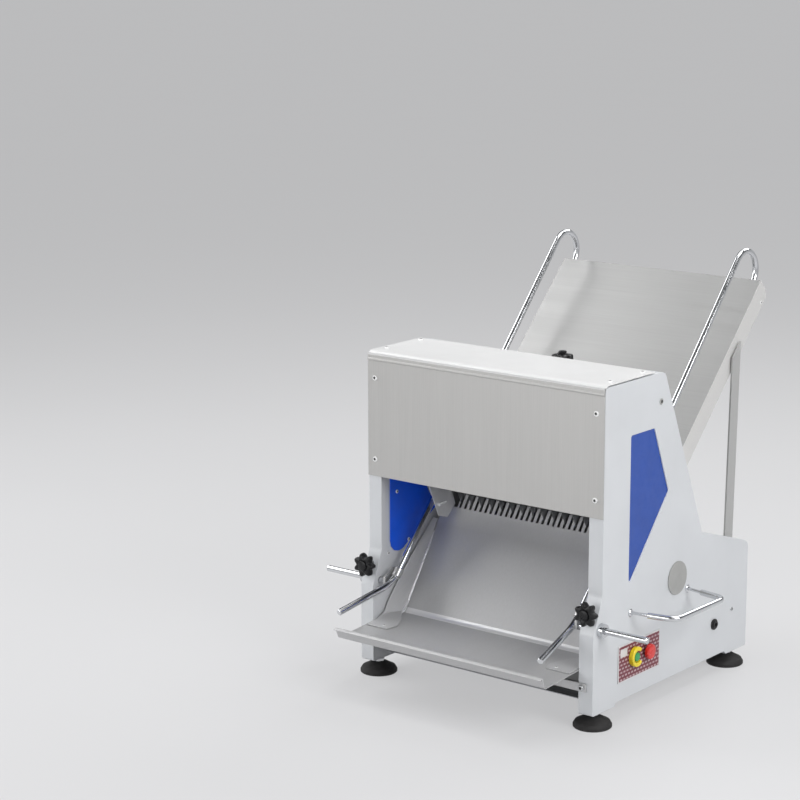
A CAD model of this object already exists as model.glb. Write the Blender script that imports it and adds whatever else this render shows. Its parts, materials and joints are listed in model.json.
"""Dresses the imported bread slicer: smooth forms, materials, lights and the camera.

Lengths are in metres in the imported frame: X to the right, Y to the rear, Z up, the floor at zero.
Profiles and small fittings are drawn in millimetres and scaled by MM.
"""
import json
from math import atan2, cos, pi, radians, sin

import bmesh
import bpy
from mathutils import Matrix, Vector


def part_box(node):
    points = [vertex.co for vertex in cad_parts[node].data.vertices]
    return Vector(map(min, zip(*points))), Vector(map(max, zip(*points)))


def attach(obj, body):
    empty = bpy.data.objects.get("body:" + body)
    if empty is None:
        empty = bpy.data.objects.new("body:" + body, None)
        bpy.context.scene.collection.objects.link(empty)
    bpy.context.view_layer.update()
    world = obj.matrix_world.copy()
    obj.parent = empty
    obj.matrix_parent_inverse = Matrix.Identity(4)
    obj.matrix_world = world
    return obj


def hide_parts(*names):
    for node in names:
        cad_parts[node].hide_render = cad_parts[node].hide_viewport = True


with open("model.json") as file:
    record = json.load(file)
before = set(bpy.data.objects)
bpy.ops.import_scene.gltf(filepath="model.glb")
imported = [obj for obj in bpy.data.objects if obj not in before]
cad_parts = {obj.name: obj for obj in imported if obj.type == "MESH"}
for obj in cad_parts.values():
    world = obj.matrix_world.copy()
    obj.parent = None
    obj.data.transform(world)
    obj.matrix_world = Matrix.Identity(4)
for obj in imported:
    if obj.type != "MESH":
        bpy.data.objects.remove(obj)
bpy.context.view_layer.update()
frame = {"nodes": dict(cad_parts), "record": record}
nodes = frame["nodes"]

MM = 0.001
MACHINE = "machine"
PANEL_X = 263.0  # half the housing's width, in millimetres
CLEAN_GAP = 0.02 * MM
CLEAN_ANGLE = radians(1.5)
ROUND_ANGLE = radians(40)

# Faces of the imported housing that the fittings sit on
_, panel_high = (Vector(corner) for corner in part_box("right_side_panel"))
front_low, front_high = (Vector(corner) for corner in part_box("front_panel"))
_, cover_high = (Vector(corner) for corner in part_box("top_cover"))
SEAT = 0.3 * MM  # clearance behind the front panel
SCREW_HEAD = 1.6 * MM  # height of the solids' own screw heads
SIDE_FACE = panel_high.x
POST_FRONT = front_high.y + SEAT
FRONT_FACE = front_low.y + SCREW_HEAD
COVER_FACE = cover_high.z - SCREW_HEAD


def at(y, z, x=0.0):
    """A place given in millimetres behind the post's front plane and above the floor."""
    return Vector((x * MM, POST_FRONT + y * MM, z * MM))


# Meshes


def piece(name, mesh, body, material, replaces=(), even=False):
    """Adds a mesh as an object; even keeps the shading of its large faces flat."""
    obj = bpy.data.objects.new(name, mesh)
    if even:
        normals = obj.modifiers.new("even shading", "WEIGHTED_NORMAL")
        normals.keep_sharp = True
    bpy.context.scene.collection.objects.link(obj)
    mesh.materials.append(material)
    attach(obj, body)
    if replaces:
        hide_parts(*replaces)
    return obj


def finished(bm, name, sharp_angle=32):
    """Writes a bmesh out as a smooth mesh whose sharper edges stay sharp."""
    bmesh.ops.recalc_face_normals(bm, faces=bm.faces)
    mesh = bpy.data.meshes.new(name)
    for face in bm.faces:
        face.smooth = True
    bm.to_mesh(mesh)
    bm.free()
    mesh.set_sharp_from_angle(angle=radians(sharp_angle))
    return mesh


def bevel_edges(bm, edges, width, segments):
    bmesh.ops.bevel(
        bm, geom=edges, offset=width, segments=segments, profile=0.5,
        affect="EDGES", clamp_overlap=True,
    )


def softened(
    node, material, width=0.5 * MM, segments=2, pick=None, pick_width=0.0,
    second=None, where=None, shape=None,
):
    """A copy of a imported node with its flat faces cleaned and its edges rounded.

    pick chooses edges that get a larger round of their own before the rest. second is a material
    for the faces where a test holds. shape moves vertices first."""
    bm = bmesh.new()
    bm.from_mesh(nodes[node].data)
    bmesh.ops.remove_doubles(bm, verts=bm.verts, dist=CLEAN_GAP)
    bmesh.ops.dissolve_limit(bm, angle_limit=CLEAN_ANGLE, verts=bm.verts, edges=bm.edges)
    if shape:
        for vert in bm.verts:
            shape(vert.co)
    if pick:
        chosen = [edge for edge in bm.edges if sharp(edge) and pick(edge)]
        bevel_edges(bm, chosen, pick_width, 4)
    bevel_edges(bm, [edge for edge in bm.edges if sharp(edge)], width, segments)
    if second:
        bm.normal_update()
        for face in bm.faces:
            face.material_index = int(where(face))
    obj = piece(
        f"{node}_skin", finished(bm, node), body_of_node[node], material, (node,),
        even=True,
    )
    if second:
        obj.data.materials.append(second)
    return obj


def sharp(edge):
    return len(edge.link_faces) == 2 and edge.calc_face_angle(0) > ROUND_ANGLE


slot_of = {row["node"]: row["material_slot"] for row in frame["record"]["subparts"]}
body_of_node = {
    node: body for body, members in frame["record"]["behaviour"]["bodies"].items() for node in members
}


def lathe_mesh(name, profile, sides=48, axis="Z"):
    """Turns a profile of (radius, height) in millimetres round Z, then lays it along an axis."""
    bm = bmesh.new()
    rings = []
    for radius, height in profile:
        if radius == 0:
            rings.append([bm.verts.new((0, 0, height * MM))])
            continue
        ring = []
        for i in range(sides):
            turn = 2 * pi * i / sides
            ring.append(bm.verts.new((radius * cos(turn) * MM, radius * sin(turn) * MM, height * MM)))
        rings.append(ring)
    for low, high in zip(rings, rings[1:]):
        bridge(bm, low, high, sides)
    bmesh.ops.transform(bm, matrix=AXES[axis], verts=bm.verts)
    return finished(bm, name)


def bridge(bm, low, high, sides):
    for i in range(sides):
        j = (i + 1) % sides
        if len(low) == 1 and len(high) == 1:
            return
        if len(low) == 1:
            bm.faces.new((low[0], high[i], high[j]))
        elif len(high) == 1:
            bm.faces.new((low[i], low[j], high[0]))
        else:
            bm.faces.new((low[i], low[j], high[j], high[i]))


TRAY_LEAN = radians(55.4)  # the tray floor's slope
AXES = {
    "Z": Matrix.Identity(4),
    "X": Matrix.Rotation(pi / 2, 4, "Y"),
    "-X": Matrix.Rotation(-pi / 2, 4, "Y"),
    "-Y": Matrix.Rotation(pi / 2, 4, "X"),
    "tray": Matrix.Rotation(TRAY_LEAN, 4, "X"),
}


def round_path(corners, steps=10):
    """Places along a line whose inner corners (point, radius) are rounded."""
    path = [corners[0][0]]
    for (before, _), (here, radius), (after, _) in zip(corners, corners[1:], corners[2:]):
        back = (before - here).normalized()
        on = (after - here).normalized()
        half = back.angle(on) / 2
        run = radius * cos(half) / sin(half)
        centre = here + (back + on).normalized() * (radius / sin(half))
        start = here + back * run - centre
        end = here + on * run - centre
        sweep = start.angle(end)
        for i in range(steps + 1):
            share = i / steps
            from_start = sin((1 - share) * sweep) / sin(sweep)
            to_end = sin(share * sweep) / sin(sweep)
            path.append(centre + start * from_start + end * to_end)
    path.append(corners[-1][0])
    return path


def tube_mesh(name, path, radius, sides=24, round_end=1.2 * MM):
    """A tube along a path, with slightly rounded ends."""
    bm = bmesh.new()
    tangents = []
    for i, here in enumerate(path):
        before = path[max(i - 1, 0)]
        after = path[min(i + 1, len(path) - 1)]
        tangents.append((after - before).normalized())
    side = tangents[0].orthogonal().normalized()
    stations = []
    first, last = path[0], path[-1]
    stations.append((first, tangents[0], radius - round_end))
    stations.append((first + tangents[0] * round_end, tangents[0], radius))
    stations += [(here, tangent, radius) for here, tangent in zip(path[1:-1], tangents[1:-1])]
    stations.append((last - tangents[-1] * round_end, tangents[-1], radius))
    stations.append((last, tangents[-1], radius - round_end))
    rings = []
    for here, tangent, size in stations:
        side = (side - tangent * side.dot(tangent)).normalized()
        other = tangent.cross(side)
        ring = []
        for i in range(sides):
            turn = 2 * pi * i / sides
            ring.append(bm.verts.new(here + (side * cos(turn) + other * sin(turn)) * size))
        rings.append(ring)
    for low, high in zip(rings, rings[1:]):
        bridge(bm, low, high, sides)
    bm.faces.new(rings[0])
    bm.faces.new(rings[-1])
    return finished(bm, name)


def plate_mesh(name, outline, x0, x1, bevel=0.6 * MM, segments=2):
    """A plate with a (y, z) outline between two places on X."""
    bm = bmesh.new()
    near = [bm.verts.new((x0, p.y, p.z)) for p in outline]
    far = [bm.verts.new((x1, p.y, p.z)) for p in outline]
    count = len(outline)
    bm.faces.new(near)
    bm.faces.new(far)
    for i in range(count):
        j = (i + 1) % count
        bm.faces.new((near[i], near[j], far[j], far[i]))
    bmesh.ops.recalc_face_normals(bm, faces=bm.faces)
    bevel_edges(bm, [edge for edge in bm.edges if sharp(edge)], bevel, segments)
    return finished(bm, name)


# Materials


class Look:
    """Builds one procedural material on the Principled shader."""

    def __init__(self, name, color, roughness=0.4, metallic=0.0, coat=0.0, specular=0.5):
        self.material = bpy.data.materials.new(name)
        self.material.use_nodes = True
        self.tree = self.material.node_tree
        self.shader = self.tree.nodes["Principled BSDF"]
        self.color = color
        self.shader.inputs["Base Color"].default_value = (*color, 1)
        self.shader.inputs["Roughness"].default_value = roughness
        self.shader.inputs["Metallic"].default_value = metallic
        self.shader.inputs["Coat Weight"].default_value = coat
        self.shader.inputs["Specular IOR Level"].default_value = specular
        self.place = self.tree.nodes.new("ShaderNodeTexCoord").outputs["Object"]
        self.normal = None

    def new(self, kind, **values):
        node = self.tree.nodes.new(kind)
        for key, value in values.items():
            setattr(node, key, value)
        return node

    def noise(self, scale, stretch=(1, 1, 1), turn=0.0, detail=4.0, roughness=0.55):
        """Noise in the object's own place; turn leans it about X before stretch draws it out."""
        lean = self.new("ShaderNodeMapping", vector_type="POINT")
        lean.inputs["Rotation"].default_value = (turn, 0, 0)
        draw = self.new("ShaderNodeMapping", vector_type="POINT")
        draw.inputs["Scale"].default_value = stretch
        texture = self.new("ShaderNodeTexNoise")
        texture.inputs["Scale"].default_value = scale
        texture.inputs["Detail"].default_value = detail
        texture.inputs["Roughness"].default_value = roughness
        link = self.tree.links.new
        link(self.place, lean.inputs["Vector"])
        link(lean.outputs["Vector"], draw.inputs["Vector"])
        link(draw.outputs["Vector"], texture.inputs["Vector"])
        return texture.outputs["Fac"]

    def spread(self, value, low, high, start=0.3, end=0.7):
        """Maps a noise value onto a range of numbers."""
        node = self.new("ShaderNodeMapRange")
        self.tree.links.new(value, node.inputs["Value"])
        node.inputs["From Min"].default_value = start
        node.inputs["From Max"].default_value = end
        node.inputs["To Min"].default_value = low
        node.inputs["To Max"].default_value = high
        return node.outputs["Result"]

    def vary_roughness(self, value, low, high):
        self.tree.links.new(self.spread(value, low, high), self.shader.inputs["Roughness"])
        return self

    def vary_color(self, value, dark, light):
        """Runs the base colour between two shares of itself."""
        ramp = self.new("ShaderNodeValToRGB")
        ramp.color_ramp.elements[0].position = 0.3
        ramp.color_ramp.elements[1].position = 0.7
        ramp.color_ramp.elements[0].color = (*(c * dark for c in self.color), 1)
        ramp.color_ramp.elements[1].color = (*(min(c * light, 1) for c in self.color), 1)
        self.tree.links.new(value, ramp.inputs["Fac"])
        self.tree.links.new(ramp.outputs["Color"], self.shader.inputs["Base Color"])
        return self

    def lift_color(self, low, high, share):
        """Raises the base colour to a share of itself between two heights in metres."""
        split = self.new("ShaderNodeSeparateXYZ")
        self.tree.links.new(self.place, split.inputs["Vector"])
        scale = self.new("ShaderNodeVectorMath", operation="SCALE")
        source = self.shader.inputs["Base Color"].links[0].from_socket
        self.tree.links.new(source, scale.inputs[0])
        factor = self.spread(split.outputs["Z"], 1.0, share, low, high)
        self.tree.links.new(factor, scale.inputs["Scale"])
        self.tree.links.new(scale.outputs[0], self.shader.inputs["Base Color"])
        return self

    def bump(self, value, strength, distance):
        node = self.new("ShaderNodeBump")
        node.inputs["Strength"].default_value = strength
        node.inputs["Distance"].default_value = distance
        self.tree.links.new(value, node.inputs["Height"])
        if self.normal:
            self.tree.links.new(self.normal, node.inputs["Normal"])
        self.normal = node.outputs["Normal"]
        self.tree.links.new(self.normal, self.shader.inputs["Normal"])
        return self


def brushed(
    name, color, roughness, stretch, turn=0.0, metallic=0.5, contrast=0.04, bump=0.05, lift=None,
):
    """Steel brushed along the direction that stretch leaves long; lift brightens it with height."""
    look = Look(name, color, roughness, metallic)
    fine = look.noise(1.0, stretch, turn, detail=6, roughness=0.7)
    broad = look.noise(1.0, tuple(s / 9 for s in stretch), turn, detail=3)
    cloud = look.noise(5.0, detail=2)
    look.vary_color(fine, 1 - contrast, 1 + contrast)
    if lift:
        look.lift_color(*lift)
    look.vary_roughness(broad, roughness - 0.04, roughness + 0.05)
    look.bump(fine, bump, 0.04 * MM)
    look.bump(cloud, 0.02, 1.0 * MM)
    return look.material


def painted(name, color, roughness=0.34):
    """Powder coat: a fine orange peel and a faint unevenness of tone."""
    look = Look(name, color, roughness, 0.0, coat=0.15)
    look.vary_color(look.noise(7.0, detail=3), 0.965, 1.03)
    look.vary_roughness(look.noise(24.0, detail=4), roughness - 0.05, roughness + 0.07)
    look.bump(look.noise(260.0, detail=2), 0.03, 0.05 * MM)
    return look.material


def chromed(name, color=(0.68, 0.69, 0.71), roughness=0.12):
    look = Look(name, color, roughness, 1.0)
    look.vary_roughness(look.noise(60.0, detail=5), roughness - 0.03, roughness + 0.08)
    look.vary_color(look.noise(18.0, detail=3), 0.93, 1.04)
    look.bump(look.noise(400.0, detail=3), 0.03, 0.03 * MM)
    return look.material


def moulded(name, color, roughness=0.4, coat=0.0, grain=500.0, uneven=0.15, specular=0.5):
    look = Look(name, color, roughness, 0.0, coat, specular)
    look.vary_color(look.noise(30.0, detail=3), 1 - uneven, 1 + uneven)
    look.vary_roughness(look.noise(90.0, detail=3), roughness - 0.06, roughness + 0.1)
    look.bump(look.noise(grain, detail=2), 0.04, 0.05 * MM)
    return look.material


def cast(name, color, roughness=0.6, metallic=0.6):
    look = Look(name, color, roughness, metallic)
    look.vary_color(look.noise(50.0, detail=5), 0.75, 1.3)
    look.bump(look.noise(350.0, detail=5), 0.35, 0.25 * MM)
    return look.material


def dashed(name, color, mark_color, row=7.0 * MM, dash=10.0 * MM, gap=2.2 * MM):
    """A printed field with rows of plain pale dashes in the object's (y, z) plane."""
    look = Look(name, color, 0.4)
    split = look.new("ShaderNodeSeparateXYZ")
    flat = look.new("ShaderNodeCombineXYZ")
    marks = look.new("ShaderNodeTexBrick", offset=0.5, squash=1.0)
    look.tree.links.new(look.place, split.inputs["Vector"])
    look.tree.links.new(split.outputs["Y"], flat.inputs["X"])
    look.tree.links.new(split.outputs["Z"], flat.inputs["Y"])
    look.tree.links.new(flat.outputs["Vector"], marks.inputs["Vector"])
    for key, value in {
        "Color1": (*mark_color, 1), "Color2": (*(c * 0.8 for c in mark_color), 1),
        "Mortar": (*color, 1), "Mortar Size": gap, "Mortar Smooth": 0.3,
        "Scale": 1.0, "Brick Width": dash, "Row Height": row,
    }.items():
        marks.inputs[key].default_value = value
    look.tree.links.new(marks.outputs["Color"], look.shader.inputs["Base Color"])
    return look.material


# Noise drawn out along the brushing: up and down, across, and along a leaning sheet
FRONT_BRUSH = (420, 420, 5)
CROSS_BRUSH = (5, 420, 420)
STEEP_BRUSH = (420, 420, 6)
CHUTE_LEAN = radians(46)

PAINT = painted("panel paint", (0.60, 0.615, 0.635))
CUT_EDGE = painted("cut edge paint", (0.88, 0.89, 0.90))
INNER_PAINT = painted("inner wall paint", (0.60, 0.61, 0.63), 0.4)
COVER_PAINT = painted("cover paint", (0.69, 0.69, 0.69))
FRONT_STEEL = brushed("front panel steel", (0.47, 0.465, 0.455), 0.42, FRONT_BRUSH)
CHUTE_STEEL = brushed("chute steel", (0.37, 0.37, 0.367), 0.40, CROSS_BRUSH, CHUTE_LEAN)
FLANGE_STEEL = brushed("flange steel", (0.60, 0.595, 0.585), 0.40, CROSS_BRUSH, metallic=0.15)
STRUT_STEEL = brushed("strut steel", (0.44, 0.44, 0.435), 0.40, FRONT_BRUSH, metallic=0.3)
TRAY_STEEL = brushed("tray steel", (0.51, 0.51, 0.515), 0.36, STEEP_BRUSH, TRAY_LEAN, metallic=0.25)
TRAY_FLOOR_STEEL = brushed(
    "tray floor steel", (0.465, 0.465, 0.47), 0.36, STEEP_BRUSH, TRAY_LEAN, metallic=0.25,
    lift=(0.262, 0.310, 1.5),
)
FOLD_STEEL = brushed("tray fold steel", (0.80, 0.80, 0.81), 0.28, STEEP_BRUSH, TRAY_LEAN, metallic=0.4)
BEND_STEEL = brushed(
    "tray bend steel", (0.78, 0.78, 0.79), 0.32, CROSS_BRUSH, metallic=0.35, contrast=0.02, bump=0.02,
)
GUARD_STEEL = brushed("guard steel", (0.80, 0.80, 0.81), 0.34, STEEP_BRUSH, metallic=0.4)
FRAME_STEEL = brushed("frame steel", (0.42, 0.43, 0.45), 0.38, CROSS_BRUSH, metallic=0.85)
BLADE_STEEL = brushed("blade steel", (0.32, 0.325, 0.335), 0.30, (300, 300, 20), metallic=1.0)
SATIN_STEEL = brushed("bracket steel", (0.50, 0.50, 0.50), 0.32, STEEP_BRUSH, metallic=0.9)
CHROME = chromed("chrome")
BOLT_STEEL = chromed("bolt steel", (0.60, 0.61, 0.62), 0.22)
SCREW_STEEL = moulded("screw steel", (0.80, 0.80, 0.80), 0.25, 0.3)
WINDOW_BLUE = moulded("window blue", (0.018, 0.068, 0.34), 0.36, 0.0, 300.0, uneven=0.05)
SHIELD_BLUE = moulded("shield blue", (0.004, 0.105, 0.82), 0.34, 0.0, 300.0, uneven=0.05)
KNOB_BLACK = moulded("knob black", (0.008, 0.008, 0.009), 0.30, specular=0.3)
GLAND_BLACK = moulded("gland black", (0.015, 0.015, 0.016), 0.5)
RUBBER = moulded("foot rubber", (0.014, 0.013, 0.013), 0.7, 0.0, 500.0)
NYLON = moulded("rail nylon", (0.78, 0.76, 0.70), 0.5)
IRON = cast("cast iron", (0.07, 0.075, 0.08))
MOTOR_PAINT = cast("motor paint", (0.05, 0.08, 0.13), 0.45, 0.1)
BELT_RUBBER = moulded("belt rubber", (0.01, 0.01, 0.01), 0.8)
DISC_GREY = moulded("disc grey", (0.35, 0.35, 0.34), 0.45, uneven=0.05)
RECESS_DARK = moulded("screw recess", (0.03, 0.03, 0.03), 0.6)
PLATE_PALE = moulded("plate border", (0.62, 0.60, 0.60), 0.4)
PLATE_FIELD = dashed("plate field", (0.16, 0.022, 0.038), (0.52, 0.38, 0.40))
YELLOW = moulded("guard yellow", (0.80, 0.62, 0.01), 0.3, 0.3)
GREEN = moulded("start green", (0.02, 0.30, 0.08), 0.3, 0.3)
RED = moulded("stop red", (0.62, 0.02, 0.015), 0.25, 0.4)

SLOT_LOOKS = {
    "side_panel_paint": PAINT,
    "inner_wall_paint": INNER_PAINT,
    "front_panel_steel": FRONT_STEEL,
    "cover_paint": COVER_PAINT,
    "chute_steel": CHUTE_STEEL,
    "tray_steel": TRAY_STEEL,
    "frame_steel": FRAME_STEEL,
    "blade_steel": BLADE_STEEL,
    "chrome": CHROME,
    "window_blue": WINDOW_BLUE,
    "shield_blue": SHIELD_BLUE,
    "knob_black": KNOB_BLACK,
    "gland_black": GLAND_BLACK,
    "foot_rubber": RUBBER,
    "rail_nylon": NYLON,
    "cast_iron": IRON,
    "motor_paint": MOTOR_PAINT,
    "belt_rubber": BELT_RUBBER,
    "disc_grey": DISC_GREY,
    "switch_plate_print": PLATE_PALE,
    "guard_yellow": YELLOW,
    "start_green": GREEN,
    "stop_red": RED,
}

for node, obj in nodes.items():
    obj.data.materials.clear()
    obj.data.materials.append(SLOT_LOOKS[slot_of[node]])


# Sheet-metal housing


# Holes in a side panel, as bounds on Y behind the post's front and on Z, in millimetres
WINDOW_ZONE = ((70, 215), (235, 525))
WINDOW_EDGE_ZONE = ((74, 214), (238, 522))
COLLAR_ZONE = ((-24, 16), (163, 203))
BUTTON_ZONE = ((90, 190), (80, 125))
SHEET_DEPTH = 2.5 * MM
LIP_LOW = 614.4 * MM
LIP_REACH = 3.0 * MM
PANEL_TOP = 610.4 * MM
SEAM = 2.0 * MM
SEAM_BAND = 2.5 * MM


def within(place, zone):
    """Whether a place lies in a zone of the side panel."""
    y, z = (place.y - POST_FRONT) / MM, place.z / MM
    return zone[0][0] < y < zone[0][1] and zone[1][0] < z < zone[1][1]


def outer_fold(edge):
    """The fold between a side panel's face and its rim, but not the edges of its holes."""
    middle = (edge.verts[0].co + edge.verts[1].co) / 2
    flat = all(abs(v.co.x) > SIDE_FACE - 0.1 * MM for v in edge.verts)
    return flat and not any(within(middle, zone) for zone in (WINDOW_ZONE, COLLAR_ZONE, BUTTON_ZONE))


def window_edge(face):
    """The cut edge of the sheet round a window."""
    middle = face.calc_center_median()
    upright = abs(face.normal.x) < 0.9 and abs(middle.x) > SIDE_FACE - SHEET_DEPTH
    return within(middle, WINDOW_EDGE_ZONE) and upright


def shorter_lip(place):
    """The cover's front lip ends above the panel, with a shadow gap between them."""
    if place.y < POST_FRONT and place.z < front_high.z + LIP_REACH:
        place.z = LIP_LOW


def lower_rim(place):
    """Leaves a dark seam between a side panel's top rim and the cover that lies on it.

    The whole rim goes down by the seam, and a band below it takes the shift up."""
    share = (place.z - panel_high.z + 2 * SEAM_BAND) / SEAM_BAND
    place.z -= SEAM * min(max(share, 0), 1)


def arc_places(corner, radius, start, turn, steps):
    """Places in (y, z) millimetres on an arc that rounds the corner between two lines."""
    run = radius * sin(turn / 2) / cos(turn / 2)
    back = (corner[0] - run * cos(start), corner[1] - run * sin(start))
    places = []
    for i in range(steps + 1):
        bend = turn * i / steps
        along, up = radius * sin(bend), radius * (1 - cos(bend))
        places.append((
            back[0] + along * cos(start) - up * sin(start),
            back[1] + along * sin(start) + up * cos(start),
        ))
    return places


PAN_LEAN = radians(3.8)
TRAY_TURN = radians(51.7)
BEND_CORNER = (46.84, 114.02)
BEND_RADIUS = 16.0
BEND_HALF_WIDTH = 217.0


def dress_tray_bend():
    """The smooth bright bend between the tray's floor and its pan."""
    steps = 12
    top = arc_places(BEND_CORNER, BEND_RADIUS, PAN_LEAN, TRAY_TURN, steps)
    rise = [0.15 + 0.1 * sin(pi * i / steps) for i in range(steps + 1)]
    profile = [(y, z + lift) for (y, z), lift in zip(top, rise)]
    profile += [(y, z - 0.9) for y, z in reversed(top)]
    bm = bmesh.new()
    ends = [
        [bm.verts.new(at(y, z, x)) for y, z in profile] for x in (-BEND_HALF_WIDTH, BEND_HALF_WIDTH)
    ]
    bridge(bm, ends[0], ends[1], len(profile))
    for end in ends:
        bm.faces.new(end)
    piece("tray_bend", finished(bm, "tray_bend", 60), MACHINE, BEND_STEEL)


def taller_panel(place):
    if place.z > front_high.z - 0.1 * MM:
        place.z = PANEL_TOP


def dress_panel_bead():
    """The rounded bead pressed along the front panel's top, as (height, depth proud of it)."""
    profile = [
        (599.4, -0.6), (599.6, 0.2), (600.4, 0.9), (601.8, 1.3), (603.2, 1.2), (604.6, 0.7),
        (605.6, -0.6),
    ]
    bm = bmesh.new()
    ends = []
    for x in (front_low.x + 0.6 * MM, front_high.x - 0.6 * MM):
        ends.append([bm.verts.new((x, FRONT_FACE - proud * MM, z * MM)) for z, proud in profile])
    bridge(bm, ends[0], ends[1], len(profile))
    for end in ends:
        bm.faces.new(end)
    mesh = finished(bm, "front_panel_bead", 60)
    piece("front_panel_bead", mesh, MACHINE, FRONT_STEEL)


FOLD_LINE = (
    (139.6, 250.3), (123.1, 226.4), (92.6, 182.1), (62.1, 137.8),
    (53.0, 125.4), (43.0, 116.8), (30.0, 113.6), (14.0, 111.9),
)
FOLD_X = (218.0, 218.0, 218.0, 217.6, 216.6, 214.4, 210.0, 203.0)
FOLD_HALF_WIDTH = 4.2
FOLD_HEIGHT = 2.1


def dress_tray_fold(name, side):
    """The bright rounded fold where a tray wall meets the tray's floor."""
    sides = 16
    bm = bmesh.new()
    path = [at(y, z, side * x) for (y, z), x in zip(FOLD_LINE, FOLD_X)]
    rings = []
    for i, here in enumerate(path):
        along = (path[min(i + 1, len(path) - 1)] - path[max(i - 1, 0)]).normalized()
        up = Vector((1, 0, 0)).cross(along).normalized()
        across = up.cross(along).normalized()
        taper = 1.0 if 0 < i < len(path) - 2 else 0.55
        ring = []
        for k in range(sides):
            turn = 2 * pi * k / sides
            offset = across * FOLD_HALF_WIDTH * cos(turn) + up * FOLD_HEIGHT * sin(turn)
            ring.append(bm.verts.new(here + offset * taper * MM))
        rings.append(ring)
    for low, high in zip(rings, rings[1:]):
        bridge(bm, low, high, sides)
    bm.faces.new(rings[0])
    bm.faces.new(rings[-1])
    piece(f"{name}_tray_fold", finished(bm, f"{name}_tray_fold"), MACHINE, FOLD_STEEL)


def dress_housing():
    for side in ("left", "right"):
        softened(
            f"{side}_side_panel", PAINT, 0.5 * MM, 2, outer_fold, 2.4 * MM,
            second=CUT_EDGE, where=window_edge, shape=lower_rim,
        )
        softened(f"{side}_window_plate", WINDOW_BLUE)
        softened(f"{side}_inner_shield", SHIELD_BLUE, 0.6 * MM)
        softened(f"{side}_inner_wall", INNER_PAINT, 0.4 * MM)
        softened(f"{side}_side_guard", GUARD_STEEL, 0.4 * MM)
        softened(f"{side}_chute_strut", STRUT_STEEL, 0.8 * MM)
        softened(f"{side}_tray_wall", TRAY_STEEL, 0.4 * MM)
        softened(f"{side}_rod_clamp", CHROME, 0.8 * MM)
    softened("top_cover", COVER_PAINT, 0.5 * MM, shape=shorter_lip)
    softened("front_panel", FRONT_STEEL, 0.5 * MM, shape=taller_panel)
    dress_panel_bead()
    softened("upper_rear_cover", COVER_PAINT, 0.5 * MM)
    softened("rear_housing_cover", COVER_PAINT, 0.5 * MM)
    softened(
        "infeed_chute", CHUTE_STEEL, second=FLANGE_STEEL, where=lambda face: abs(face.normal.x) > 0.9
    )
    softened("discharge_tray", TRAY_FLOOR_STEEL, 0.6 * MM)
    dress_tray_bend()
    for name, side in (("left", -1), ("right", 1)):
        dress_tray_fold(name, side)
    softened("tray_cross_bar", TRAY_STEEL, 0.7 * MM)
    softened("crumb_drawer", CHUTE_STEEL, 0.4 * MM)
    softened("press_plate", CHUTE_STEEL, 0.6 * MM)
    softened("access_cover", DISC_GREY, 0.4 * MM)
    softened("cable_gland", GLAND_BLACK, 0.6 * MM)
    softened("start_guard_ring", YELLOW, 1.4 * MM, 4)


# Rods, bars and handles

ROD_RADIUS = 6.0
ROD_X = 206.0
ROD_BEND_Z = 182.0
ROD_ANGLE = radians(48.2)
ROD_STRAIGHT = 783.5
HOOK_RADIUS = 39.0
HOOK_TAIL = 34.0
GRIP_FORWARD = 134.0
GRIP_DROP = 30.0
GRIP_OUT = 20.0
GRIP_BEND = 90.0
BAR_Y, BAR_Z, BAR_END = -4.0, 183.0, 361.0
SLEEVE = (12.0, 30.0, 9.0)
LUG_HALF = 10.0
LUG_THICKNESS = 6.0
HANDLE_FRONT_Y, HANDLE_REAR_Y, HANDLE_Z = 90.0, 280.0, 192.0
HANDLE_REACH = 87.0
HANDLE_TAPER = 15.0
HANDLE_RADIUS = 5.6
HANDLE_STUD = 33.0
HANDLE_STUD_RADIUS = 3.0
HANDLE_BEND = 18.0
FLANGE_PROFILE = [(0, 0.0), (7, 0.0), (7, 1.2), (6.2, 2.0), (4.4, 2.2), (0, 2.2)]


def rod_place(side, along, square=0.0):
    y = along * cos(ROD_ANGLE) + square * sin(ROD_ANGLE)
    z = ROD_BEND_Z + along * sin(ROD_ANGLE) - square * cos(ROD_ANGLE)
    return at(y, z, side * ROD_X)


def cane_path(side):
    grip = at(-GRIP_FORWARD, ROD_BEND_Z - GRIP_DROP, side * (ROD_X + GRIP_OUT))
    bend = at(0, ROD_BEND_Z, side * ROD_X)
    shoulder = rod_place(side, ROD_STRAIGHT)
    path = round_path([(grip, 0), (bend, GRIP_BEND * MM), (shoulder, 0)])
    steps = 28
    for i in range(steps + 1):
        turn = pi * i / steps
        along = ROD_STRAIGHT + HOOK_RADIUS * sin(turn)
        path.append(rod_place(side, along, HOOK_RADIUS * (1 - cos(turn))))
    path.append(rod_place(side, ROD_STRAIGHT - HOOK_TAIL, 2 * HOOK_RADIUS))
    return [p for p, q in zip(path, path[1:]) if (p - q).length > 0.01 * MM] + [path[-1]]


def dress_rods():
    for name, side in (("left", -1), ("right", 1)):
        body = f"{name}_guide"
        cane = tube_mesh(f"{name}_cane", cane_path(side), ROD_RADIUS * MM, 28)
        piece(f"{name}_cane", cane, body, CHROME, (f"{name}_guide_rod",))
        start, end, radius = SLEEVE
        ends = [rod_place(side, start), rod_place(side, end)]
        sleeve = tube_mesh(f"{name}_sleeve", ends, radius * MM, 28)
        piece(f"{name}_rod_sleeve", sleeve, body, SATIN_STEEL)
        bar = tube_mesh(
            f"{name}_bar",
            [at(BAR_Y, BAR_Z, side * (ROD_X + radius)), at(BAR_Y, BAR_Z, side * BAR_END)],
            ROD_RADIUS * MM, 28,
        )
        piece(f"{name}_cross_bar", bar, body, CHROME)
        dress_lug(name, side, body, (start + end) / 2, side * (ROD_X + radius - 1.2) * MM)
        dress_handle(name, side)


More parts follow.
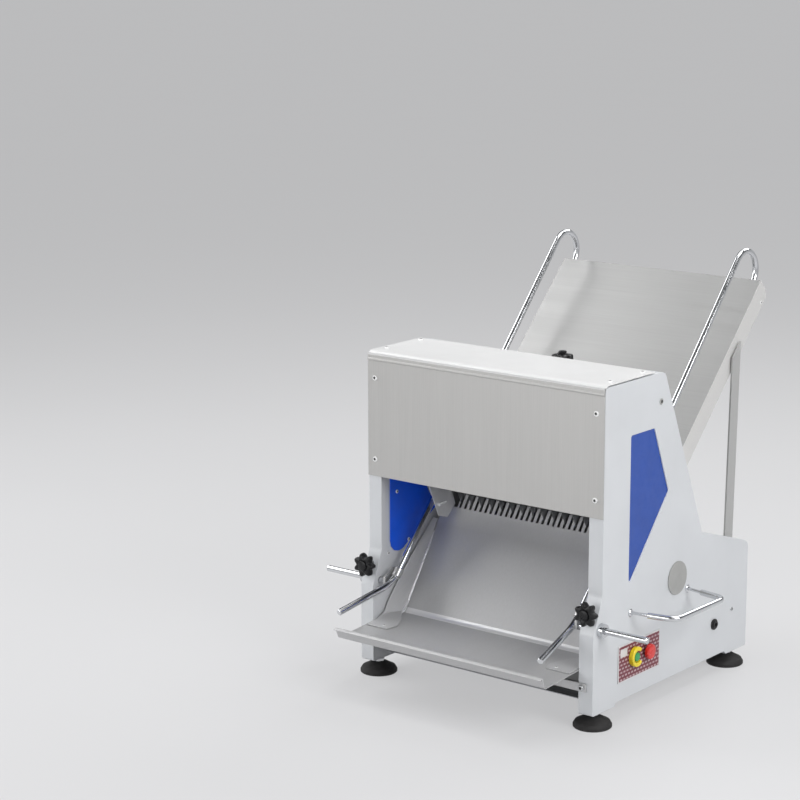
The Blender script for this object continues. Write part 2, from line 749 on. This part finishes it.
def dress_lug(name, side, body, sleeve_middle, near):
    """The small plate that joins a rod's sleeve to its lateral bar."""
    middle = rod_place(side, sleeve_middle)
    outline = [
        at(BAR_Y - LUG_HALF, BAR_Z - LUG_HALF / 2), at(BAR_Y + LUG_HALF / 2, BAR_Z - LUG_HALF),
        middle + Vector((0, LUG_HALF * MM, 0)), middle + Vector((0, 0, LUG_HALF * MM)),
        at(BAR_Y - LUG_HALF, BAR_Z + LUG_HALF),
    ]
    lug = plate_mesh(f"{name}_lug", outline, near, near + side * LUG_THICKNESS * MM, 1.6 * MM, 3)
    piece(f"{name}_rod_lug", lug, body, SATIN_STEEL, even=True)


def dress_handle(name, side):
    """A carry handle: a bent tube on two thin studs that stand in round flanges."""
    handle = f"{name}_carry_handle"
    inner = PANEL_X + 0.3
    outer = PANEL_X + HANDLE_REACH
    feet = [at(HANDLE_FRONT_Y, HANDLE_Z, side * inner), at(HANDLE_REAR_Y, HANDLE_Z, side * inner)]
    bends = [
        at(HANDLE_FRONT_Y + HANDLE_TAPER, HANDLE_Z, side * outer),
        at(HANDLE_REAR_Y - HANDLE_TAPER, HANDLE_Z, side * outer),
    ]
    ends = [foot + (bend - foot).normalized() * HANDLE_STUD * MM for foot, bend in zip(feet, bends)]
    corners = [(ends[0], 0), (bends[0], HANDLE_BEND * MM), (bends[1], HANDLE_BEND * MM), (ends[1], 0)]
    bow = tube_mesh(handle, round_path(corners), HANDLE_RADIUS * MM, 28)
    piece(f"{handle}_bow", bow, MACHINE, CHROME, (handle,))
    for place, foot, end in zip(("front", "rear"), feet, ends):
        flange = lathe_mesh(f"{handle}_{place}_flange", FLANGE_PROFILE, 36, "X" if side > 0 else "-X")
        obj = piece(f"{handle}_{place}_flange", flange, MACHINE, CHROME)
        obj.location = foot
        buried = end + (end - foot).normalized() * 4 * MM
        stud = tube_mesh(f"{handle}_{place}_stud", [foot, buried], HANDLE_STUD_RADIUS * MM, 20, 0.4 * MM)
        piece(f"{handle}_{place}_stud", stud, MACHINE, CHROME)


# Knobs, feet and controls


LOBES = 7
CLAMP_KNOB_RADIUS = 23.0
CLAMP_KNOB_DEPTH = 15.2
CLAMP_KNOB_BACK = 17.2  # from the knob's packed front face
PRESS_KNOB_RADIUS = 21.0
PRESS_KNOB_DEPTH = 15.6
PRESS_KNOB_BORE = 5.5
CLAMP_STEM = [(0, -27), (4, -27), (4, -6), (11, -6), (11, 0.5), (0, 0.5)]


def star_knob_mesh(name, radius, thickness, lobes, depth, bore=0.0):
    """A lobed knob with a crowned face, its back at zero and its face towards +Z, in millimetres."""
    bm = bmesh.new()
    sides = lobes * 12
    levels = [
        (0.0, 0.90), (0.12, 0.97), (0.3, 1.0), (0.62, 1.0), (0.82, 0.97), (0.94, 0.90), (1.0, 0.76),
    ]
    stack = []
    for height, share in levels:
        ring = []
        for i in range(sides):
            turn = 2 * pi * i / sides
            edge = radius - depth * 0.9 * (1 - cos(lobes * turn))
            r = edge - radius * (1 - share)
            ring.append(bm.verts.new((r * cos(turn) * MM, r * sin(turn) * MM, height * thickness * MM)))
        stack.append(ring)
    hub = radius * 0.42
    rings = [(hub * 1.2, 0.97), (hub, 0.90), (hub * 0.96, 1.06), (hub * 0.8, 1.12)]
    if bore:
        rings += [(bore, 1.12), (bore, 0.0)]
    for r, height in rings:
        stack.append([
            bm.verts.new((
                r * cos(2 * pi * i / sides) * MM,
                r * sin(2 * pi * i / sides) * MM,
                height * thickness * MM,
            ))
            for i in range(sides)
        ])
    for low, high in zip(stack, stack[1:]):
        bridge(bm, low, high, sides)
    if bore:
        bridge(bm, stack[-1], stack[0], sides)
    else:
        bm.faces.new(stack[0])
        bm.faces.new(stack[-1])
    return finished(bm, name, 40)


STEM_CAP = [(0, 5.8), (7.0, 5.8), (7.8, 6.4), (7.8, 8.4), (6.8, 9.8), (4.0, 10.3), (0, 10.4)]


def dress_knobs():
    for name, side in (("left", -1), ("right", 1)):
        node = f"{name}_clamp_knob"
        low, high = (Vector(corner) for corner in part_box(node))
        body = f"{name}_knob"
        knob = star_knob_mesh(node, CLAMP_KNOB_RADIUS, CLAMP_KNOB_DEPTH, LOBES, 3.6)
        knob.transform(AXES["-Y"])
        obj = piece(f"{node}_grip", knob, body, KNOB_BLACK, (node,))
        middle = ((low.x + high.x) / 2, low.y + CLAMP_KNOB_BACK * MM, (low.z + high.z) / 2)
        obj.location = middle
        stem = lathe_mesh(f"{node}_stem", CLAMP_STEM, 32, "-Y")
        obj = piece(f"{node}_stem", stem, body, BOLT_STEEL)
        obj.location = middle
    low, high = (Vector(corner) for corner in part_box("press_knob"))
    grip = star_knob_mesh(
        "press_knob", PRESS_KNOB_RADIUS, PRESS_KNOB_DEPTH, LOBES, 3.0, bore=PRESS_KNOB_BORE,
    )
    body = body_of_node["press_knob"]
    obj = piece("press_knob_grip", grip, body, KNOB_BLACK, ("press_knob",))
    x, y = (low.x + high.x) / 2, (low.y + high.y) / 2
    obj.location = (x, y, low.z)
    cap = lathe_mesh("press_stem_cap", STEM_CAP, 32)
    obj = piece("press_stem_cap", cap, body_of_node["press_plate"], KNOB_BLACK)
    obj.location = (x, y, high.z)


FOOT_PAD = [
    (0, 0), (33.5, 0), (35, 1.5), (35, 5.5), (34, 7), (31.5, 11.2), (29, 12.2), (16, 19.5), (11.2, 22),
    (0, 22),
]
FOOT_STUD = [(0, 21), (7, 21), (7, 28.2), (0, 28.2)]
FOOT_NUT = [(0, 22), (11, 22), (11.6, 22.6), (11.6, 27.0), (11, 27.6), (0, 27.6)]


def dress_feet():
    for side in ("left", "right"):
        for end in ("front", "rear"):
            node = f"{side}_{end}_foot"
            low, high = (Vector(corner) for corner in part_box(node))
            x, y = (low.x + high.x) / 2, (low.y + high.y) / 2
            for part, profile, sides, slot, material, replaced in (
                ("pad", FOOT_PAD, 64, "foot_rubber", RUBBER, (node,)),
                ("stud", FOOT_STUD, 32, "chrome", BOLT_STEEL, ()),
                ("nut", FOOT_NUT, 6, "chrome", BOLT_STEEL, ()),
            ):
                mesh = lathe_mesh(f"{node}_{part}", profile, sides)
                obj = piece(f"{node}_{part}", mesh, MACHINE, material, replaced)
                obj.location = (x, y, 0)


def thin_plate(name, y0, y1, z0, z1, x, material):
    """A printed patch laid on the switch plate."""
    outline = [Vector((0, y, z)) for y, z in ((y0, z0), (y1, z0), (y1, z1), (y0, z1))]
    patch = plate_mesh(name, outline, x - 0.3 * MM, x + 0.1 * MM, 0.05 * MM, 1)
    piece(name, patch, MACHINE, material)


PLATE_MARGIN = 2.2 * MM
LABEL_NEAR, LABEL_FAR = 4.0 * MM, 26.0 * MM
LABEL_TOP, LABEL_BOTTOM = 5.0 * MM, 20.0 * MM
START_PROFILE = [
    (0, 0), (5, 0), (5, 17.6), (7.4, 17.6), (8, 18.1), (8, 20.8), (7.3, 21.8), (5.5, 22.2), (0, 22.3),
]
STOP_PROFILE = [
    (0, 0), (5, 0), (5, 17.9), (12.6, 18.3), (13.8, 19.0), (14.0, 20.0), (13.9, 24.0),
    (13.3, 25.2), (12.0, 25.9), (9.0, 26.2), (0, 26.3),
]


def dress_controls():
    low, high = (Vector(corner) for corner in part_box("switch_plate"))
    softened("switch_plate", PLATE_PALE, 0.3 * MM)
    y0, y1 = low.y + PLATE_MARGIN, high.y - PLATE_MARGIN
    z0, z1 = low.z + PLATE_MARGIN, high.z - PLATE_MARGIN
    thin_plate("switch_plate_field", y0, y1, z0, z1, high.x, PLATE_FIELD)
    thin_plate(
        "switch_plate_label", y0 + LABEL_NEAR, y0 + LABEL_FAR, z1 - LABEL_BOTTOM, z1 - LABEL_TOP,
        high.x + 0.1 * MM, PLATE_PALE,
    )
    for node, body, profile, material in (
        ("start_button", "start", START_PROFILE, GREEN),
        ("stop_button", "stop", STOP_PROFILE, RED),
    ):
        low, high = (Vector(corner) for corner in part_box(node))
        cap = lathe_mesh(node, profile, 48, "X")
        obj = piece(f"{node}_cap", cap, body, material, (node,))
        depth = max(height for _, height in profile) * MM
        obj.location = (high.x - depth, (low.y + high.y) / 2, (low.z + high.z) / 2)


RECESS = 0.32


def screw(name, place, axis, radius, material=SCREW_STEEL, dome=1.5):
    """A domed screw head with a dark recess."""
    bm = bmesh.new()
    sides = 24
    stack = []
    for share, height in ((1.0, 0.0), (1.0, 0.55), (0.94, 0.78), (0.78, 0.93), (0.52, 1.0)):
        stack.append([
            bm.verts.new((
                radius * share * cos(2 * pi * i / sides) * MM,
                radius * share * sin(2 * pi * i / sides) * MM,
                height * dome * MM,
            ))
            for i in range(sides)
        ])
    for low, high in zip(stack, stack[1:]):
        bridge(bm, low, high, sides)
    recess = []
    for i in range(sides):
        turn = 2 * pi * i / sides
        deep = 0.82 if i % 6 in (0, 1, 5) else 0.93
        place_on = (radius * RECESS * cos(turn) * MM, radius * RECESS * sin(turn) * MM, deep * dome * MM)
        recess.append(bm.verts.new(place_on))
    solid = len(bm.faces)
    bridge(bm, stack[-1], recess, sides)
    bm.faces.new(recess)
    bm.faces.ensure_lookup_table()
    for face in bm.faces[solid:]:
        face.material_index = 1
    bm.faces.new(stack[0])
    bmesh.ops.transform(bm, matrix=AXES[axis], verts=bm.verts)
    obj = piece(name, finished(bm, name, 50), MACHINE, material)
    obj.data.materials.append(RECESS_DARK)
    obj.location = place


# Places in millimetres: X from the middle, (Y behind the post's front, Z above the floor)
FRONT_SCREW_X, FRONT_SCREWS = 245.7, (("upper", 567.9), ("lower", 413.8))
COVER_SCREW_X, COVER_SCREWS = 248.0, (("front", 35), ("rear", 137.5))
SIDE_PLUG, SIDE_SCREW = (177, 561), (440, 113.6)
SHIELD_X, SHIELD_RIVETS = 230.7, ((43, 345), (78, 245))
WALL_SCREW_X, WALL_SCREW = 232.7, (19.4, 230.1)
BAR_BOLT_X, BAR_BOLT = 241.0, (-29, 79.5)
FLOOR_RIVET_X, FLOOR_RIVET = 221.0, (143.5, 257.5)
PAN_RIVET_X, PAN_RIVET = 195.0, (-40, 110.3)
FLANGE_X, FLANGE_RIVETS = 226.0, ((580, 679.7), (491, 596.7))


def dress_fasteners():
    for name, side in (("left", -1), ("right", 1)):
        for level, z in FRONT_SCREWS:
            place = Vector((side * FRONT_SCREW_X * MM, FRONT_FACE, z * MM))
            screw(f"front_panel_{name}_{level}_screw", place, "-Y", 5.0, dome=2.2)
        for level, y in COVER_SCREWS:
            place = Vector((side * COVER_SCREW_X * MM, POST_FRONT + y * MM, COVER_FACE))
            screw(f"top_cover_{name}_{level}_screw", place, "Z", 4.8, dome=2.2)
    screw("side_panel_plug", at(*SIDE_PLUG, PANEL_X), "X", 5.6, DISC_GREY)
    screw("side_panel_screw", at(*SIDE_SCREW, PANEL_X), "X", 4.0, BOLT_STEEL)
    for name, side, outward, inward in (("left", -1, "-X", "X"), ("right", 1, "X", "-X")):
        for index, place in enumerate(SHIELD_RIVETS):
            screw(f"{name}_shield_rivet_{index + 1}", at(*place, side * SHIELD_X), inward, 3.4)
        screw(f"{name}_wall_screw", at(*WALL_SCREW, side * WALL_SCREW_X), inward, 3.2)
        screw(
            f"{name}_cross_bar_bolt", at(*BAR_BOLT, side * BAR_BOLT_X), "-Y", 5.7, BOLT_STEEL, dome=4.0,
        )
        screw(f"{name}_tray_rivet_floor", at(*FLOOR_RIVET, side * FLOOR_RIVET_X), "tray", 3.0, dome=1.2)
        screw(f"{name}_tray_rivet_pan", at(*PAN_RIVET, side * PAN_RIVET_X), "Z", 3.0, dome=1.0)
        for index, place in enumerate(FLANGE_RIVETS):
            screw(f"{name}_chute_rivet_{index + 1}", at(*place, side * FLANGE_X), outward, 3.2, dome=1.2)


dress_housing()
dress_rods()
dress_knobs()
dress_feet()
dress_controls()
dress_fasteners()


# Floor, lights and camera


FLOOR_COLOR = (0.62, 0.62, 0.63)
FLOOR_GLOW = (0.74, 0.74, 0.75)
FLOOR_GLOW_SHARE = 0.6


def floor():
    """A pale floor; the camera and bare metal see part of its paleness without the lamps' falloff."""
    mesh = bpy.data.meshes.new("floor")
    reach = 30.0  # metres
    corners = [(-reach, -reach, 0), (reach, -reach, 0), (reach, reach, 0), (-reach, reach, 0)]
    mesh.from_pydata(corners, [], [(0, 1, 2, 3)])
    obj = bpy.data.objects.new("floor", mesh)
    bpy.context.scene.collection.objects.link(obj)
    look = Look("floor", FLOOR_COLOR, 0.55)
    look.vary_color(look.noise(1.5, detail=2), 0.99, 1.01)
    pale = look.new("ShaderNodeEmission")
    pale.inputs["Color"].default_value = (*FLOOR_GLOW, 1)
    rays = look.new("ShaderNodeLightPath")
    seen = look.new("ShaderNodeMath", operation="MAXIMUM")
    share = look.new("ShaderNodeMath", operation="MULTIPLY")
    share.inputs[1].default_value = FLOOR_GLOW_SHARE
    mix = look.new("ShaderNodeMixShader")
    link = look.tree.links.new
    link(rays.outputs["Is Camera Ray"], seen.inputs[0])
    link(rays.outputs["Is Glossy Ray"], seen.inputs[1])
    link(seen.outputs["Value"], share.inputs[0])
    link(share.outputs["Value"], mix.inputs["Fac"])
    link(look.shader.outputs["BSDF"], mix.inputs[1])
    link(pale.outputs["Emission"], mix.inputs[2])
    link(mix.outputs["Shader"], look.tree.nodes["Material Output"].inputs["Surface"])
    mesh.materials.append(look.material)


def area_light(name, place, target, size, power):
    light = bpy.data.lights.new(name, "AREA")
    light.shape = "RECTANGLE"
    light.size, light.size_y = size
    light.energy = power
    obj = bpy.data.objects.new(name, light)
    obj.location = place
    obj.rotation_euler = (Vector(target) - Vector(place)).to_track_quat("-Z", "Y").to_euler()
    bpy.context.scene.collection.objects.link(obj)


SKY_STOPS = ((0.0, 0.55), (0.15, 0.55), (0.35, 0.16), (1.0, 0.16))  # (height, brightness)


def sky():
    """A studio dome: bright at the horizon, dim overhead, so that bare metal has both to mirror."""
    world = bpy.data.worlds.new("studio")
    world.use_nodes = True
    tree = world.node_tree
    place = tree.nodes.new("ShaderNodeTexCoord")
    split = tree.nodes.new("ShaderNodeSeparateXYZ")
    ramp = tree.nodes.new("ShaderNodeValToRGB")
    tree.links.new(place.outputs["Generated"], split.inputs["Vector"])
    tree.links.new(split.outputs["Z"], ramp.inputs["Fac"])
    tree.links.new(ramp.outputs["Color"], tree.nodes["Background"].inputs["Color"])
    elements = ramp.color_ramp.elements
    elements[0].position, elements[1].position = SKY_STOPS[0][0], SKY_STOPS[-1][0]
    for position, _ in SKY_STOPS[1:-1]:
        elements.new(position)
    for element, (_, level) in zip(elements, SKY_STOPS):
        element.color = (level * 0.97, level * 0.985, level, 1)
    bpy.context.scene.world = world


def lights():
    sky()
    for name, place, height, size, power in (
        ("right", (2.9, -0.6, 2.0), 0.3, (1.8, 1.4), 65),
        ("front right", (2.2, -2.0, 1.9), 0.3, (1.8, 1.4), 5),
        ("front", (-0.6, -2.8, 0.9), 0.35, (1.8, 1.0), 21),
        ("left front", (-2.6, -1.4, 1.6), 0.35, (1.8, 1.4), 25),
        ("left", (-2.3, -0.4, 2.6), 0.35, (1.8, 1.4), 33),
        ("top", (0.2, 0.6, 3.0), 0.4, (2.4, 1.6), 37),
        ("rear", (0.0, 2.4, 2.4), 0.5, (2.0, 1.4), 30),
    ):
        area_light(name, place, (0, 0, height), size, power)


CAMERA_PLACE = (2.47438, POST_FRONT - 3.32186, 1.45829)
CAMERA_TURN = radians(38.714)
CAMERA_PITCH = radians(12.258)
CAMERA_ROLL = radians(-0.118)
CAMERA_LENS = 106.966
SENSOR_WIDTH = 36.0


def camera():
    data = bpy.data.cameras.new("camera")
    data.lens = CAMERA_LENS
    data.sensor_width = SENSOR_WIDTH
    data.clip_end = 60
    obj = bpy.data.objects.new("camera", data)
    turn = Matrix.Rotation(CAMERA_TURN, 4, "Z")
    tilt = Matrix.Rotation(pi / 2 - CAMERA_PITCH, 4, "X")
    roll = Matrix.Rotation(CAMERA_ROLL, 4, "Z")
    obj.matrix_world = Matrix.Translation(CAMERA_PLACE) @ turn @ tilt @ roll
    bpy.context.scene.collection.objects.link(obj)
    bpy.context.scene.camera = obj


floor()
lights()
camera()
bpy.context.scene.view_settings.view_transform = "Standard"
